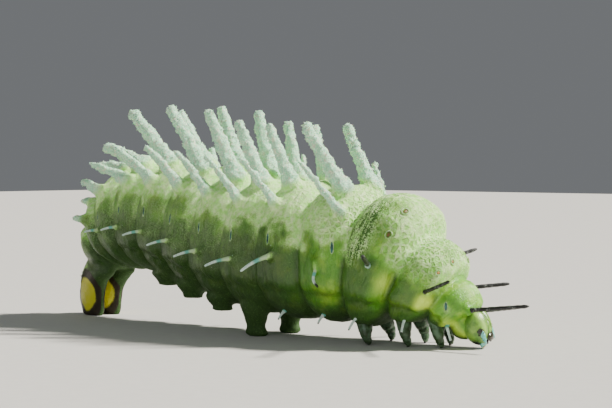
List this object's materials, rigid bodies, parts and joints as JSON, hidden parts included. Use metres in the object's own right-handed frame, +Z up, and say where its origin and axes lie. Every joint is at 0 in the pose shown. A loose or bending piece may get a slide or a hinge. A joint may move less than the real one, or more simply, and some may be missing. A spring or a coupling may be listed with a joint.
{
  "type": "atlas moth larva (Attacus atlas)",
  "caption": "Life-size still model of an atlas moth larva walking, with waxy white spines along its back and its rear end raised.",
  "frame": {"origin": "middle of the bounding box, on the plane of the soles", "axes": "+X from the tail towards the head, +Y to the larva's left, +Z up"},
  "size_m": [0.1218, 0.0436, 0.0467],
  "materials": {
    "flesh": "pale green skin under white wax powder",
    "head": "smooth glossy green",
    "leg": "satin green with dark claws",
    "proleg": "soft green skin",
    "clasper": "yellow green with a brown ring",
    "teal_horn": "pale turquoise, glossy",
    "dark_horn": "glossy near black"
  },
  "bodies": {
    "root": {"head": "head", "thorax_1": "flesh", "thorax_2": "flesh", "thorax_3": "flesh", "abdomen_1": "flesh", "abdomen_2": "flesh", "abdomen_3": "flesh", "abdomen_4": "flesh", "abdomen_5": "flesh", "abdomen_6": "flesh", "abdomen_7": "flesh", "abdomen_8": "flesh", "abdomen_9": "flesh", "abdomen_10": "flesh", "leg_1_left": "leg", "leg_1_right": "leg", "leg_2_left": "leg", "leg_2_right": "leg", "leg_3_left": "leg", "leg_3_right": "leg", "proleg_3_left": "proleg", "proleg_3_right": "proleg", "proleg_4_left": "proleg", "proleg_4_right": "proleg", "proleg_5_left": "proleg", "proleg_5_right": "proleg", "proleg_6_left": "proleg", "proleg_6_right": "proleg", "clasper_left": "clasper", "clasper_right": "clasper", "antenna_left": "teal_horn", "antenna_right": "teal_horn", "eyes_left": "dark_horn", "eyes_right": "dark_horn", "jaw_left": "dark_horn", "jaw_right": "dark_horn", "upper_lip": "dark_horn", "lower_lip": "teal_horn"}
  },
  "joints": []
}
